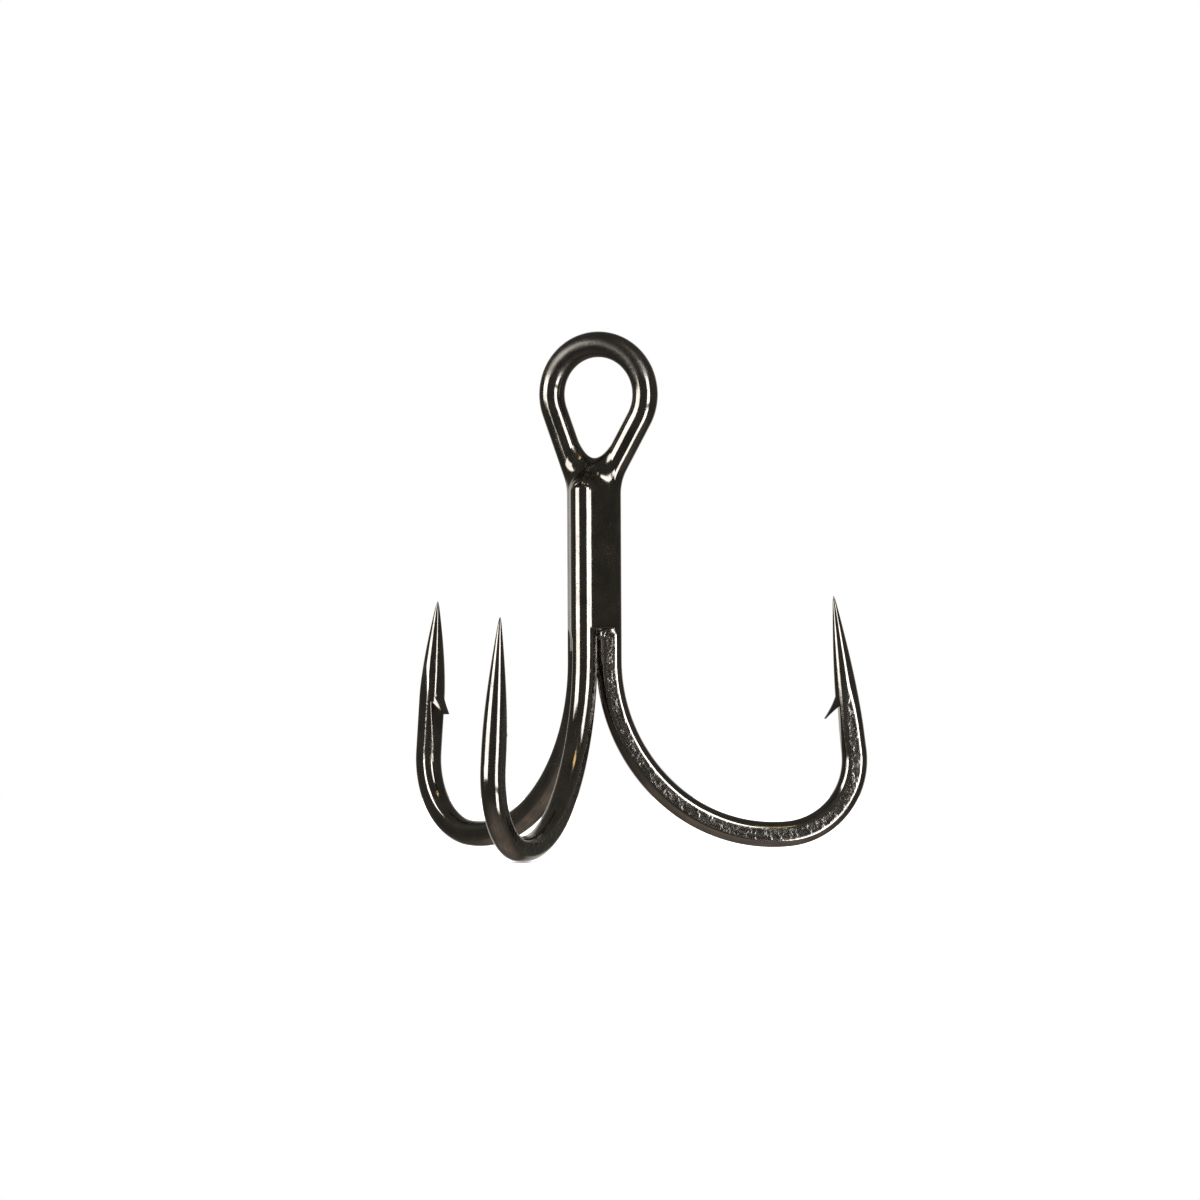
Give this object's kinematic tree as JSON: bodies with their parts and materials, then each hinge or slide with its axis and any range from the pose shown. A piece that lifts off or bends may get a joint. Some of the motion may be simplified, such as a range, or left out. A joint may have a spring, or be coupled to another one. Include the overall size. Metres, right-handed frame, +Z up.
{
  "type": "treble fishing hook",
  "caption": "Barbed treble hook: forged bends, brazed round-wire shanks and a teardrop eye, in black nickel finish.",
  "frame": {"origin": "on the axis of the brazed shanks, at the height of the balance point", "axes": "+Z up the shanks to the eye; the eye lies in a plane square to Y; the third hook bends towards -Y and the other two towards +X and -X, each 30 degrees round to +Y"},
  "size_m": [0.0228, 0.0198, 0.0246],
  "materials": {
    "double_hook_wire": "bright black nickel over forged high-carbon steel wire",
    "single_hook_wire": "bright black nickel over forged high-carbon steel wire",
    "braze_core": "black nickel over braze filler",
    "braze_seams": "smooth black nickel over braze filler, faintly scratched",
    "braze_neck": "glossy black nickel over braze filler"
  },
  "bodies": {
    "root": {"double_hook_wire": "double_hook_wire", "single_hook_wire": "single_hook_wire", "braze_core": "braze_core", "braze_seam_right": "braze_seams", "braze_seam_left": "braze_seams", "braze_seam_rear": "braze_seams", "braze_neck": "braze_neck"}
  },
  "joints": []
}
